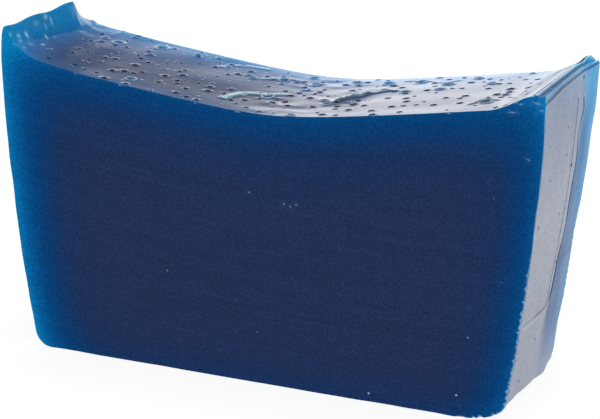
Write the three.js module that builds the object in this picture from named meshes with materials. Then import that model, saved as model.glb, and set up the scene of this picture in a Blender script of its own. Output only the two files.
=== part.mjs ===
// Clay bar: one slab of deep blue, wax-like compound, cut from a longer cast loaf.
//
// The two end walls and the base were cast against a mould, so the walls draft
// outwards and bow slightly and the base corners are rounded. The top is the free
// surface of the pour: it sank into a dish as it cooled and clung to the mould,
// which left a high lip on the left and a low flat-topped lip on the right. The
// front and back are flat knife cuts.
//
// Units are millimetres. +X runs along the length to the right lip, +Y to the back
// cut face and +Z up. The origin is the centre of the base.

import * as THREE from 'three';

// Overall sizes
const RIM_LENGTH = 110; // wall to wall, where the walls are plumb
const DEPTH = 34.4; // between the two cuts

// The dish in the top
const DISH_LOW_HEIGHT = 53.7;
const DISH_RISE = 5.3;
const DISH_LOW_OFFSET = 1.5;
const DISH_BOTTOM_REACH = 11.6; // half the length of its round bottom

// The left lip, from its foot in the dish to its crest
const LEFT_LIP_WIDTH = 8.4;
const LEFT_LIP_RISE = 7.3;
const LEFT_CREST_INSET = 1.4;
const LEFT_SHOULDER_INSET = 4;
const LEFT_SHOULDER_DROP = 2.2;

// The left crest is lower at the front, and broken away at the back corner
const LEFT_CREST_FRONT_DROP = 0.6;
const CHIP_LENGTH = 7.6;
const CHIP_DROP = 5;
const CHIP_CURVE = 0.65; // below 1 the break starts steeply

// The right lip, a narrow shelf with a small step down to the wall
const RIGHT_LIP_WIDTH = 9.8;
const RIGHT_LIP_RISE = 3.6;
const RIGHT_SHELF_WIDTH = 3.1;
const RIGHT_SHELF_FALL = 0.5;
const RIGHT_STEP_HEIGHT = 1.2;
const RIGHT_STEP_INSET = 0.4;

// The moulded end walls, arcs that are plumb at one height
const WALL_RADIUS = 400;
const WALL_PLUMB_HEIGHT = 68;

// The base corners: a plain radius on the left, and a toe that lifts on the right
const LEFT_CORNER_RADIUS = 3.5;
const RIGHT_TOE_LENGTH = 12;
const RIGHT_TOE_HEIGHT = 4.5;
const RIGHT_TOE_BULGE = 4;

// Facets
const DISH_FACETS = 32;
const CURVE_FACETS = 7;
const DEPTH_FACETS = 12;

const wallCentre = RIM_LENGTH / 2 - WALL_RADIUS;

// Distance from the middle plane to an end wall at height z
function wallReach(z) {
  return wallCentre + Math.sqrt(WALL_RADIUS ** 2 - (z - WALL_PLUMB_HEIGHT) ** 2);
}

function wallAngle(z) {
  return Math.asin((z - WALL_PLUMB_HEIGHT) / WALL_RADIUS);
}

const leftFoot = new THREE.Vector2(LEFT_LIP_WIDTH - RIM_LENGTH / 2, DISH_LOW_HEIGHT + DISH_RISE);
const rightFoot = new THREE.Vector2(RIM_LENGTH / 2 - RIGHT_LIP_WIDTH, DISH_LOW_HEIGHT + DISH_RISE);

// Height of the dish: straight flanks that meet in a round bottom at its lowest
// point, and that reach the foot of the lip on either side
function dishHeight(x) {
  const low = DISH_LOW_OFFSET;
  const foot = x < low ? leftFoot : rightFoot;
  const sag = (reach) => Math.hypot(reach, DISH_BOTTOM_REACH) - DISH_BOTTOM_REACH;
  return DISH_LOW_HEIGHT + DISH_RISE * sag(x - low) / sag(foot.x - low);
}

// The left corner arc touches the base and the left wall; the angle is where it
// meets the wall
function leftCorner() {
  const rise = LEFT_CORNER_RADIUS - WALL_PLUMB_HEIGHT;
  const run = Math.sqrt((WALL_RADIUS - LEFT_CORNER_RADIUS) ** 2 - rise ** 2);
  return { x: -(wallCentre + run), angle: Math.PI - Math.atan2(rise, run) };
}

function addBase(outline) {
  const corner = leftCorner();
  const toeX = wallReach(RIGHT_TOE_HEIGHT);
  const lean = Math.tan(wallAngle(RIGHT_TOE_HEIGHT));
  outline.absarc(
    corner.x, LEFT_CORNER_RADIUS, LEFT_CORNER_RADIUS, corner.angle, Math.PI * 1.5, false,
  );
  outline.lineTo(toeX - RIGHT_TOE_LENGTH, 0);
  outline.bezierCurveTo(
    toeX - RIGHT_TOE_LENGTH / 2, 0,
    toeX + RIGHT_TOE_BULGE * lean, RIGHT_TOE_HEIGHT - RIGHT_TOE_BULGE,
    toeX, RIGHT_TOE_HEIGHT,
  );
}

function addRightWallAndLip(outline) {
  const crestZ = rightFoot.y + RIGHT_LIP_RISE;
  const stepZ = crestZ - RIGHT_STEP_HEIGHT;
  const crestX = wallReach(stepZ) - RIGHT_STEP_INSET;
  const shelfX = crestX - RIGHT_SHELF_WIDTH;
  const shelfZ = crestZ - RIGHT_SHELF_FALL;
  outline.absarc(
    wallCentre, WALL_PLUMB_HEIGHT, WALL_RADIUS, wallAngle(RIGHT_TOE_HEIGHT), wallAngle(stepZ), false,
  );
  outline.lineTo(crestX, crestZ);
  outline.lineTo(shelfX, shelfZ);
  outline.quadraticCurveTo((shelfX + rightFoot.x) / 2, rightFoot.y, rightFoot.x, rightFoot.y);
}

function addDish(outline) {
  for (let i = 1; i <= DISH_FACETS; i += 1) {
    const x = THREE.MathUtils.lerp(rightFoot.x, leftFoot.x, i / DISH_FACETS);
    outline.lineTo(x, dishHeight(x));
  }
}

function addLeftLipAndWall(outline) {
  const crestX = LEFT_CREST_INSET - RIM_LENGTH / 2;
  const crestZ = leftFoot.y + LEFT_LIP_RISE;
  const shoulderX = LEFT_SHOULDER_INSET - RIM_LENGTH / 2;
  const shoulderZ = crestZ - LEFT_SHOULDER_DROP;
  const wallTopX = -wallReach(leftFoot.y);
  outline.quadraticCurveTo((leftFoot.x + shoulderX) / 2, leftFoot.y, shoulderX, shoulderZ);
  outline.lineTo(crestX, crestZ);
  outline.quadraticCurveTo(wallTopX, crestZ, wallTopX, leftFoot.y);
  outline.absarc(
    -wallCentre, WALL_PLUMB_HEIGHT, WALL_RADIUS,
    Math.PI - wallAngle(leftFoot.y), leftCorner().angle, false,
  );
}

function barOutline() {
  const outline = new THREE.Shape();
  addBase(outline);
  addRightWallAndLip(outline);
  addDish(outline);
  addLeftLipAndWall(outline);
  return outline;
}

// How far the left crest lies below its highest point at depth y
function crestDrop(y) {
  const chipStart = DEPTH / 2 - CHIP_LENGTH;
  if (y > chipStart) {
    return CHIP_DROP * ((y - chipStart) / CHIP_LENGTH) ** CHIP_CURVE;
  }
  return LEFT_CREST_FRONT_DROP * (chipStart - y) / (chipStart + DEPTH / 2);
}

// Lowers the part of the left lip above its foot to follow the crest
function shapeLeftCrest(geometry) {
  const position = geometry.attributes.position;
  for (let i = 0; i < position.count; i += 1) {
    const above = position.getZ(i) - leftFoot.y;
    if (position.getX(i) < leftFoot.x && above > 0) {
      const keep = 1 - crestDrop(position.getY(i)) / LEFT_LIP_RISE;
      position.setZ(i, leftFoot.y + above * keep);
    }
  }
}

function castBar() {
  const geometry = new THREE.ExtrudeGeometry(barOutline(), {
    depth: DEPTH,
    steps: DEPTH_FACETS,
    curveSegments: CURVE_FACETS,
    bevelEnabled: false,
  });
  geometry.translate(0, 0, -DEPTH / 2);
  geometry.rotateX(Math.PI / 2);
  shapeLeftCrest(geometry);
  geometry.computeVertexNormals();
  const wax = new THREE.MeshStandardMaterial({ color: 0x1b3c78, roughness: 0.35, metalness: 0 });
  const mesh = new THREE.Mesh(geometry, wax);
  mesh.name = 'cast_bar';
  return mesh;
}

const clayBar = new THREE.Group();
clayBar.add(castBar());

export default clayBar;
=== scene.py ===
"""The looks of the clay bar: one slab of translucent deep blue compound.

The bar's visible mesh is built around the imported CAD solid. Its section is walked
once round as an outline, and every point of the skin has two coordinates: along,
the distance in millimetres round the outline, and y, its place in the depth.
Bubble pits, craters, ripples and creases are heights above that skin. The skin is
triangulated flat, along by y, and then placed in space.

Mesh code works in millimetres and converts to metres when a mesh is made.
"""
import math

import bmesh
import bpy
import numpy as np
from mathutils import Matrix, Vector
from mathutils.geometry import delaunay_2d_cdt


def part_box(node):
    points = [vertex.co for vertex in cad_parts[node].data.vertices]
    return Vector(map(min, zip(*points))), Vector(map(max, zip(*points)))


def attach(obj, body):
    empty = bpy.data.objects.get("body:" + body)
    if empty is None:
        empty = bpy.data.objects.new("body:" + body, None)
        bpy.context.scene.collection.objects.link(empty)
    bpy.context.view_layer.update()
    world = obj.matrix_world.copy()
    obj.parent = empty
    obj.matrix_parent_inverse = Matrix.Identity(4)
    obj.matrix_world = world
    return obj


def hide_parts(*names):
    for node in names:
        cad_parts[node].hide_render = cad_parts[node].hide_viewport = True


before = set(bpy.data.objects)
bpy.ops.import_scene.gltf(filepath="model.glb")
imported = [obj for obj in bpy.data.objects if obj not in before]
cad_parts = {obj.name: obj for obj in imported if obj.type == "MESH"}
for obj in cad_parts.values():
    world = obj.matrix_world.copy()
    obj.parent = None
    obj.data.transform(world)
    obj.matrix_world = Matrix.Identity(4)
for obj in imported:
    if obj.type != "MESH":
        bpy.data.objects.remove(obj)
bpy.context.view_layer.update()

MM = 0.001
NODE = "cast_bar"
corner_low, corner_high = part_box(NODE)
HALF_DEPTH = (corner_high.y - corner_low.y) / 2 / MM
CREST_Z = corner_high.z / MM

# ------------------------------------------------------------------ the section
# These sizes are the CAD part's own, in millimetres.
RIM_HALF = 55
WALL_RADIUS = 400
WALL_PLUMB_Z = 68
LEFT_LIP_WIDTH = 8.4
LEFT_LIP_RISE = 7.3
RIGHT_LIP_WIDTH = 9.8
DISH_RISE = 5.3
DISH_LOW_X = 1.5
DISH_BOTTOM_REACH = 11.6
CORNER_RADIUS = 3.5
TOE_LENGTH = 12
TOE_HEIGHT = 4.5
TOE_BULGE = 4

FOOT_Z = CREST_Z - LEFT_LIP_RISE
LEFT_FOOT_X = LEFT_LIP_WIDTH - RIM_HALF
RIGHT_FOOT_X = RIM_HALF - RIGHT_LIP_WIDTH

# Inner slopes of the lips: distance in from the wall plane, height above the foot
LEFT_SLOPE = [(1.4, 7.25), (1.85, 5.8), (2.4, 4.4), (3.2, 3.3), (4.3, 2.5), (5.4, 1.8), (6.6, 1.2),
              (7.6, 0.75), (8.4, 0.45)]
LEFT_OUTSIDE = [(0.1, 0), (0.2, 2.8), (0.45, 5.4), (0.85, 6.8), (1.4, 7.25)]
RIGHT_SLOPE = [(9.8, 0), (7.9, 0.75), (5.8, 1.8), (3.9, 2.8), (2.9, 3.12)]
RIGHT_SHELF = [(2.9, 3.12), (2.5, 3.08), (2.1, 3.48), (1.8, 3.38), (1.5, 3.08), (1.2, 3.2), (0.88, 2.98),
               (0.62, 3.28), (0.46, 3.42)]
RIGHT_STEP = [(0.35, 3.36), (0.28, 3.1), (0.3, 2.6), (0.4, 2.3), (0.1, 2.08)]

# The dish rises beside the left foot, and the left wall stands out a little
LEFT_FOOT_RISE = 0.45
LEFT_FOOT_RISE_REACH = 9
LEFT_BULGE = 0.2
# Rounds of smoothing where a lip meets the dish
FOOT_EASING = 9

# Distances between the outline's points
DISH_SPACING = 0.45
SLOPE_SPACING = 0.35
SHELF_SPACING = 0.1
STEP_SPACING = 0.15
WALL_SPACING = 0.4
TOE_SPACING = 0.5
LEFT_WALL_SPACING = 0.6
BASE_SPACING = 0.9


def smoothstep(a, b, value):
    """0 at a and 1 at b with an eased rise between; falls when a is above b."""
    t = np.clip((value - a) / (b - a), 0, 1)
    return t * t * (3 - 2 * t)


def wall_reach(z):
    """Distance from the middle plane to an end wall at height z."""
    return RIM_HALF - WALL_RADIUS + np.sqrt(WALL_RADIUS ** 2 - (z - WALL_PLUMB_Z) ** 2)


def dish_height(x):
    """Nominal height of the dish between the feet of its lips."""
    def sag(reach):
        return np.hypot(reach, DISH_BOTTOM_REACH) - DISH_BOTTOM_REACH
    foot = np.where(x < DISH_LOW_X, LEFT_FOOT_X, RIGHT_FOOT_X)
    return FOOT_Z - DISH_RISE + DISH_RISE * sag(x - DISH_LOW_X) / sag(foot - DISH_LOW_X)


def left_foot_lift(x):
    """How far the dish rises above its nominal curve beside the left foot."""
    return LEFT_FOOT_RISE * smoothstep(LEFT_FOOT_X + LEFT_FOOT_RISE_REACH, LEFT_FOOT_X, x)


def spaced(points, step):
    """The same line with its points about one step apart, ends kept."""
    points = np.asarray(points, float)
    run = np.concatenate([[0], np.cumsum(np.linalg.norm(np.diff(points, axis=0), axis=1))])
    count = max(2, int(round(run[-1] / step)) + 1)
    at = np.linspace(0, run[-1], count)
    return np.stack([np.interp(at, run, points[:, k]) for k in range(points.shape[1])], 1)


def smooth_through(points, pieces=12):
    """A Catmull-Rom curve through the points."""
    p = np.asarray(points, float)
    p = np.concatenate([[2 * p[0] - p[1]], p, [2 * p[-1] - p[-2]]])
    t = np.linspace(0, 1, pieces, endpoint=False)[:, None]
    spans = []
    for a, b, c, d in zip(p, p[1:], p[2:], p[3:]):
        spans.append(0.5 * (2 * b + (c - a) * t + (2 * a - 5 * b + 4 * c - d) * t ** 2
                            + (3 * b - a - 3 * c + d) * t ** 3))
    return np.concatenate(spans + [p[-2:-1]])


def bezier(a, b, c, d, pieces=24):
    """A cubic curve from a to d, steered by b and c."""
    t = np.linspace(0, 1, pieces)[:, None]
    a, b, c, d = (np.asarray(q, float) for q in (a, b, c, d))
    return a * (1 - t) ** 3 + 3 * b * t * (1 - t) ** 2 + 3 * c * t ** 2 * (1 - t) + d * t ** 3


def on_right(profile):
    """Section points of a profile given as distance in from the right wall and rise."""
    return [(RIM_HALF - inset, FOOT_Z + rise) for inset, rise in profile]


def top_line():
    """Left crest, over the dish, to the foot of the right step."""
    left = [(inset - RIM_HALF, FOOT_Z + rise) for inset, rise in LEFT_SLOPE]
    step = on_right(RIGHT_SHELF[-1:] + RIGHT_STEP)
    x = np.linspace(LEFT_FOOT_X, RIGHT_FOOT_X, 200)
    dish = np.stack([x, dish_height(x) + left_foot_lift(x)], 1)
    line = np.concatenate([
        spaced(smooth_through(left), DISH_SPACING),
        spaced(dish, DISH_SPACING)[1:],
        spaced(smooth_through(on_right(RIGHT_SLOPE)), SLOPE_SPACING)[1:],
        spaced(smooth_through(on_right(RIGHT_SHELF)), SHELF_SPACING)[1:],
        spaced(smooth_through(step, 4), STEP_SPACING)[1:],
    ])
    eased = line.copy()
    for _ in range(FOOT_EASING):
        eased[1:-1] = 0.5 * eased[1:-1] + 0.25 * (eased[:-2] + eased[2:])
    near_foot = np.minimum(np.abs(line[:, 0] - LEFT_FOOT_X), np.abs(line[:, 0] - RIGHT_FOOT_X))
    share = smoothstep(4, 2, near_foot)[:, None]
    return line + (eased - line) * share


def moulded_line(start):
    """From the right step, down the wall, along the base and up to the left crest."""
    z = np.linspace(start[1], TOE_HEIGHT, 120)
    right_wall = np.stack([wall_reach(z), z], 1)
    right_wall[0] = start
    toe_top = right_wall[-1]
    lean = (WALL_PLUMB_Z - TOE_HEIGHT) / WALL_RADIUS
    toe = bezier(toe_top, toe_top - TOE_BULGE * np.array([lean, 1]),
                 (toe_top[0] - TOE_LENGTH / 2, 0), (toe_top[0] - TOE_LENGTH, 0))
    rise = CORNER_RADIUS - WALL_PLUMB_Z
    run = math.sqrt((WALL_RADIUS - CORNER_RADIUS) ** 2 - rise ** 2)
    centre_x = -(RIM_HALF - WALL_RADIUS + run)
    turn = np.linspace(1.5 * math.pi, math.pi - math.atan2(rise, run), 16)
    corner = np.stack([centre_x + CORNER_RADIUS * np.cos(turn), CORNER_RADIUS * (1 + np.sin(turn))], 1)
    z = np.linspace(corner[-1, 1], FOOT_Z, 120)
    left_wall = np.stack([-wall_reach(z) - LEFT_BULGE * smoothstep(0, 12, z), z], 1)
    outside = [(inset - RIM_HALF - LEFT_BULGE, FOOT_Z + rise) for inset, rise in LEFT_OUTSIDE]
    return np.concatenate([
        spaced(right_wall, WALL_SPACING)[1:],
        spaced(toe, TOE_SPACING)[1:],
        spaced([toe[-1], corner[0]], BASE_SPACING)[1:],
        spaced(corner, WALL_SPACING)[1:],
        spaced(left_wall, LEFT_WALL_SPACING)[1:],
        spaced(smooth_through(outside), WALL_SPACING)[1:-1],
    ])


top_points = top_line()
outline = np.concatenate([top_points, moulded_line(top_points[-1])])
CREASE_INDEX = len(top_points) - 1
closed_outline = np.concatenate([outline, outline[:1]])
outline_at = np.concatenate([[0], np.cumsum(np.linalg.norm(np.diff(closed_outline, axis=0), axis=1))])
CREASE_AT = outline_at[CREASE_INDEX]
AROUND = outline_at[-1]


def outline_normals():
    """Outward normals at the outline's points, smoothed over their neighbours."""
    tangent = np.roll(outline, -1, 0) - np.roll(outline, 1, 0)
    normal = np.stack([-tangent[:, 1], tangent[:, 0]], 1)
    normal /= np.linalg.norm(normal, axis=1)[:, None]
    normal = 2 * normal + np.roll(normal, 1, 0) + np.roll(normal, -1, 0)
    normal /= np.linalg.norm(normal, axis=1)[:, None]
    return np.concatenate([normal, normal[:1]])


closed_normals = outline_normals()


def on_outline(along):
    """Section point and outward normal at a distance along the outline."""
    point = np.stack([np.interp(along, outline_at, closed_outline[:, k]) for k in (0, 1)], 1)
    normal = np.stack([np.interp(along, outline_at, closed_normals[:, k]) for k in (0, 1)], 1)
    return point, normal / np.linalg.norm(normal, axis=1)[:, None]


def along_at_x(x):
    """Distance along the outline of the place in the dish with this x."""
    return float(np.interp(x, top_points[:, 0], outline_at[:len(top_points)]))


def along_at_inset(inset):
    """The same for the place this far in from the right wall."""
    return along_at_x(RIM_HALF - inset)


def along_at_z(z):
    """Distance along the outline of the place on the right wall with this z."""
    wall = (outline_at[:-1] >= CREASE_AT) & (outline[:, 0] > RIGHT_FOOT_X - 2)
    return float(np.interp(-z, -outline[wall, 1], outline_at[:-1][wall]))


# ------------------------------------------------------------------ relief of the skin
def swell(u, v, length_u, length_v, seed, waves=16):
    """Smooth random relief of unit height with the given wavelengths."""
    rng = np.random.default_rng(seed)
    total = np.zeros_like(u, float)
    for _ in range(waves):
        turn, phase = rng.uniform(0, 2 * math.pi, 2)
        stretch = rng.uniform(0.6, 1.5)
        across = np.cos(turn) * u / length_u + np.sin(turn) * v / length_v
        total += np.cos(2 * math.pi * stretch * across + phase)
    return total * math.sqrt(2 / waves)


# Slow unevenness of the skin: height, wavelengths along and across, seed
DISH_SWELL = (0.025, 26, 13, 3)
DISH_RIPPLE = (0.035, 10, 4.5, 8)
LIP_SWELL = (0.05, 9, 6, 5)
MOULD_SWELL = (0.05, 14, 8, 11)
MOULD_DRAG = (0.006, 9, 1.6, 12)


def uneven(along, y, height, *wave):
    """Smooth random relief with one of the sets of values above."""
    return height * swell(along, y, *wave)


# Ring-shaped craters of burst bubbles in the dish: x, y, radius, strength of the painted highlight on the
# ring
CRATERS = [
    (-43.1, 8.6, 1.2, 0.9), (-46.5, 9, 0.8, 0.4), (-35, 12.4, 1.3, 0.9), (-35.5, 14, 0.8, 0.5),
    (-28.9, -12.4, 1.0, 0.6), (-34, 5.4, 0.8, 0.3), (-9.8, -9.9, 0.95, 1), (-8.1, -5.6, 0.85, 0.9),
    (-3.6, -4.3, 1.1, 1), (-18.8, 10, 0.8, 0.9), (-17, 13.2, 0.7, 0.6), (-13, 7.5, 0.7, 0.5),
    (-11.5, 6.2, 0.7, 0.5), (-6, 9.2, 1.1, 0.8), (0.6, 10, 1.0, 0.6), (1, 4.2, 1.0, 0.8),
    (-1.5, 14.4, 0.9, 0.5), (8, 13.2, 1.1, 0.7), (8, -3.4, 0.9, 0.6), (12.8, 1.4, 1.5, 0.9),
    (10.8, -2.2, 1.05, 0.7), (15, 12.4, 1.2, 0.5), (16.4, 6.2, 0.9, 0.7), (21.6, 3.6, 1.0, 0.7),
    (28.5, 4.4, 1.0, 0.6), (21.5, 12.4, 1.2, 0.7), (28.5, 9.4, 1.2, 0.6), (33, 13.4, 1.0, 0.5),
    (41.5, -9.4, 1.5, 0.8), (37.5, 8, 1.0, 0.5), (6.2, -15.6, 0.9, 0.7),
]
# Ridges where skin wrinkled as it sank: points x, y, then height, half width, strength of the
# painted highlight, and how much darker the front side is painted than the back
RIDGES = [
    ([(-10, -10.2), (-9.2, -7.2), (-8, -4.9), (-6, -3.8), (-4, -3.3), (-2.6, -2), (-1.4, -1.2)],
     0.26, 0.7, 1, 0),
    ([(-9.5, 7.5), (-6, 10.6), (-2.2, 10.4), (0, 8.2), (2, 10.5)], 0.12, 0.5, 0.5, 0),
    ([(9, -5.9), (10.2, -5.2), (11.4, -3.6)], 0.22, 0.5, 0.7, 1),
    ([(10.8, -3.6), (11.6, -1.6), (12.8, 0.4), (14, 1.8)], 0.6, 1.2, 1, 1),
    ([(14.6, 2.6), (15.8, 3), (16.8, 4.2), (18, 4.9), (19.2, 4.5)], 0.28, 0.42, 0.8, 1),
    ([(9.5, -7), (13, -5.5), (15.5, -5.8)], 0.12, 0.5, 0.25, 0),
    ([(50.6, -15), (50.9, -8), (50.5, 0), (50.9, 9)], 0.04, 0.2, 0.05, 0),
    ([(18, 14.2), (23, 13.4), (27, 11), (29.5, 12.4)], 0.12, 0.5, 0.4, 0),
    ([(39, -10.8), (41, -8), (43.5, -8.4)], 0.2, 0.5, 0.7, 0),
    ([(-20, 9.6), (-17, 13.4), (-12, 14.6)], 0.08, 0.5, 0.4, 0),
]
# Small blisters on the inner slope of the left lip: along, y, length down it, width, height
BLISTERS = [
    (1.9, -1.4, 0.7, 0.22, 0.17), (0.8, -3, 0.4, 0.6, 0.12), (2.9, -11.6, 0.55, 0.4, 0.16),
    (2.7, -14.2, 0.45, 0.5, 0.1), (4.5, -5.6, 0.42, 0.2, 0.18), (4.8, -2.8, 0.22, 0.25, 0.18),
    (6.2, -9.3, 0.22, 0.5, 0.24), (7.7, -9.8, 0.16, 0.25, 0.14), (8.1, -8.8, 0.2, 0.3, 0.15),
    (2.6, -3.9, 0.5, 0.3, 0.09), (3.8, -14.7, 0.4, 0.5, 0.08), (5.7, -15.4, 0.3, 0.3, 0.09),
    (1.6, -7, 0.5, 0.7, 0.05), (2, -16.6, 0.4, 0.2, 0.1), (5.2, -12.6, 0.5, 0.6, 0.05),
]
# Small bubble pits, scattered over the dish and a little larger in its right half. Depth
# and rim height are shares of the radius.
PIT_COUNT = 185
PIT_SPACING = 1.65
PIT_RADIUS = (0.42, 0.62)
PIT_SIZES = (0.7, 1, 1.1)
PIT_DEPTH = (1.2, 1.6)
PIT_RIM = (0.02, 0.16)
PIT_SPAN_X = (-48.5, 50)
PIT_GROWTH = 0.15
PIT_GROWTH_X = (-5, 15)
PIT_SEED = 7
EDGE_MARGIN = 0.9


def scattered(count, along_range, y_limit, spacing, seed, avoid=()):
    """Random places, no two much closer together than the spacing."""
    rng = np.random.default_rng(seed)
    chosen = []
    for _ in range(count * 40):
        place = np.array([rng.uniform(*along_range), rng.uniform(-y_limit, y_limit)])
        near = [np.hypot(*(place - q)) < spacing * rng.uniform(0.85, 1.25) for q in chosen]
        clash = [np.hypot(place[0] - a, place[1] - b) < 1.5 * r + 0.4 for a, b, r, *_ in avoid]
        if not any(near) and not any(clash):
            chosen.append(place)
        if len(chosen) == count:
            break
    return np.array(chosen), rng


def dish_features():
    """Craters and pits of the pour surface as rows of along, y, radius, depth, rim height."""
    craters = [(along_at_x(x), y, r, pale) for x, y, r, pale in CRATERS]
    span = [along_at_x(x) for x in PIT_SPAN_X]
    places, rng = scattered(PIT_COUNT, span, HALF_DEPTH - EDGE_MARGIN, PIT_SPACING, PIT_SEED, craters)
    count = len(places)
    radius = rng.uniform(*PIT_RADIUS, count) * rng.choice(PIT_SIZES, count)
    radius *= 1 + PIT_GROWTH * smoothstep(*[along_at_x(x) for x in PIT_GROWTH_X], places[:, 0])
    depth = radius * rng.uniform(*PIT_DEPTH, count)
    rim = radius * rng.uniform(*PIT_RIM, count)
    return np.array(craters), np.column_stack([places, radius, depth, rim])


craters, pits = dish_features()

# Fold lines on the right end: points y, z, then depth and half width
CREASES = [
    ([(9, 56.5), (9.6, 54), (8, 50), (8.4, 45.5), (7.2, 39.5), (6.1, 33), (4.3, 28), (3.6, 23.5),
      (2.4, 19.4), (0.4, 17.6), (-5, 17.7), (-10, 18.1), (-15.5, 19)], 0.32, 0.28),
    ([(5.4, 57), (5, 51), (5, 46), (4.1, 41.5), (2.6, 33), (1.4, 27), (0.6, 21), (0.2, 18)], 0.2, 0.2),
    ([(2, 26), (9.5, 25.2), (15.5, 24.6)], 0.1, 0.3),
    ([(4.4, 28.4), (3.7, 23.7), (2.5, 19.5), (1.4, 18.2)], 0.12, 0.42),
]
# A thin ridge stands beside them, with a painted highlight beside the first two
CREASE_RIDGE_HIGHLIGHT = 0.35
CREASE_RIDGE_HEIGHT = 0.1
# Painted shade along the creases
CREASE_SHADE = 0.72
# Pinholes on the right end: y, z, radius
PINHOLES = [(-0.2, 53, 0.42), (0, 47.7, 0.4), (4.9, 44.4, 0.6), (-10, 45.3, 0.34), (0.3, 36.1, 0.45),
            (-14.6, 37.7, 0.4), (-10.6, 6.6, 0.42), (8.1, 60.2, 0.45), (12, 38, 0.3), (-6, 30, 0.26),
            (-12, 52, 0.24), (-3, 12, 0.3)]
PINHOLE_DEPTH = 0.9
PINHOLE_RIM = 0.02


def distance_to_line(along, y, line):
    """Distance from each place to a polyline on the skin, and the side it is on."""
    best = np.full(along.shape, 1e9)
    side = np.zeros(along.shape)
    for (a0, b0), (a1, b1) in zip(line, line[1:]):
        da, db = a1 - a0, b1 - b0
        t = np.clip(((along - a0) * da + (y - b0) * db) / (da * da + db * db), 0, 1)
        gap = np.hypot(along - a0 - t * da, y - b0 - t * db)
        closer = gap < best
        best = np.where(closer, gap, best)
        side = np.where(closer, np.sign(da * (y - b0) - db * (along - a0)), side)
    return best, side


ridge_lines = [([(along_at_x(x), y) for x, y in smooth_through(points, 6)], *sizes)
               for points, *sizes in RIDGES]
crease_lines = [([(along_at_z(z), y) for y, z in smooth_through(points, 6)], depth, width)
                for points, depth, width in CREASES]
pinholes = [(along_at_z(z), y, r) for y, z, r in PINHOLES]
# Painted shade in the grooves of the right lip: distance in from the wall, strength, half width
SHELF_GROOVES = [(2.62, 0.35, 0.12), (1.2, 0.35, 0.55), (1.55, 0.8, 0.15), (0.93, 0.85, 0.15)]
shelf_lines = [(along_at_inset(inset), depth, width) for inset, depth, width in SHELF_GROOVES]
# The crease itself gets the darkest painted shade
shelf_lines.append((CREASE_AT, 0.95, 0.13))
# The painted highlight on the top of the ridge between the grooves
SHELF_CREST_AT = along_at_inset(2.1)
SHELF_CREST_WIDTH = 0.28


def bowl(reach, depth, rim):
    """Height of a pit with a raised rim; reach is distance over radius."""
    inside = -depth * (1 - np.minimum(reach, 1) ** 2) ** 2.2
    return inside + rim * np.exp(-((reach - 1.15) / 0.22) ** 2)


def ring_reach(along, y, a, b, radius):
    """Distance from a crater's centre over its radius, and a share that breaks up its ring."""
    turn = np.arctan2(y - b, along - a)
    wobble = 1 + 0.1 * np.cos(2 * turn + 3 * a) + 0.07 * np.cos(3 * turn + 5 * b)
    broken = 0.72 + 0.28 * np.cos(turn + 7 * a + b)
    return np.hypot(along - a, y - b) / radius / wobble, broken


def ring(reach, radius):
    """Height of a crater: a thin rounded ring round a shallow bowl."""
    return (0.2 * radius ** 0.5 * np.exp(-((reach - 1) / 0.2) ** 2)
            - 0.1 * radius * (1 - np.minimum(reach / 0.85, 1) ** 2) ** 1.5)


def blister(along, y, a, b, length, width):
    """A small rounded swelling of unit height."""
    return np.exp(-((along - a) / length) ** 2 - ((y - b) / width) ** 2)


def slow_pour_relief(along, y):
    """Swells of the dish, ripples in its middle, and swells of the left lip."""
    left_foot = along_at_x(LEFT_FOOT_X)
    right_foot = along_at_x(RIGHT_FOOT_X)
    on_dish = smoothstep(left_foot - 3, left_foot + 3, along) * smoothstep(right_foot + 4, right_foot, along)
    within = smoothstep(HALF_DEPTH, HALF_DEPTH - 4, np.abs(y))
    rippled = smoothstep(along_at_x(-8), along_at_x(3), along)
    rippled = rippled * smoothstep(along_at_x(24), along_at_x(8), along)
    on_lip = within * smoothstep(0, 2.5, along) * smoothstep(left_foot + 1, left_foot - 3, along)
    dish = uneven(along, y, *DISH_SWELL) + rippled * uneven(along, y, *DISH_RIPPLE)
    return on_dish * within * dish + on_lip * uneven(along, y, *LIP_SWELL)


def pour_relief(along, y):
    """Relief of the pour surface, in millimetres above the nominal skin."""
    height = slow_pour_relief(along, y)
    for line, rise, width, *_ in ridge_lines:
        gap, _ = distance_to_line(along, y, line)
        height += rise * np.exp(-(gap / width) ** 2)
    for a, b, r, _ in craters:
        reach, broken = ring_reach(along, y, a, b, r)
        height += np.where(reach < 2.2, ring(reach, r) * broken, 0)
    for a, b, r, depth, rim in pits:
        reach = np.hypot(along - a, y - b) / r
        height += np.where(reach < 2, bowl(reach, depth, rim), 0)
    for a, b, length, width, rise in BLISTERS:
        height += rise * blister(along, y, a, b, length, width)
    return height


# How much less of the painted highlight the front side of a dark-fronted ridge gets, and how
# strong the painted highlight on blisters is for each millimetre of their height
DARK_FRONT_LOSS = 0.72
BLISTER_HIGHLIGHT = 5


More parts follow.
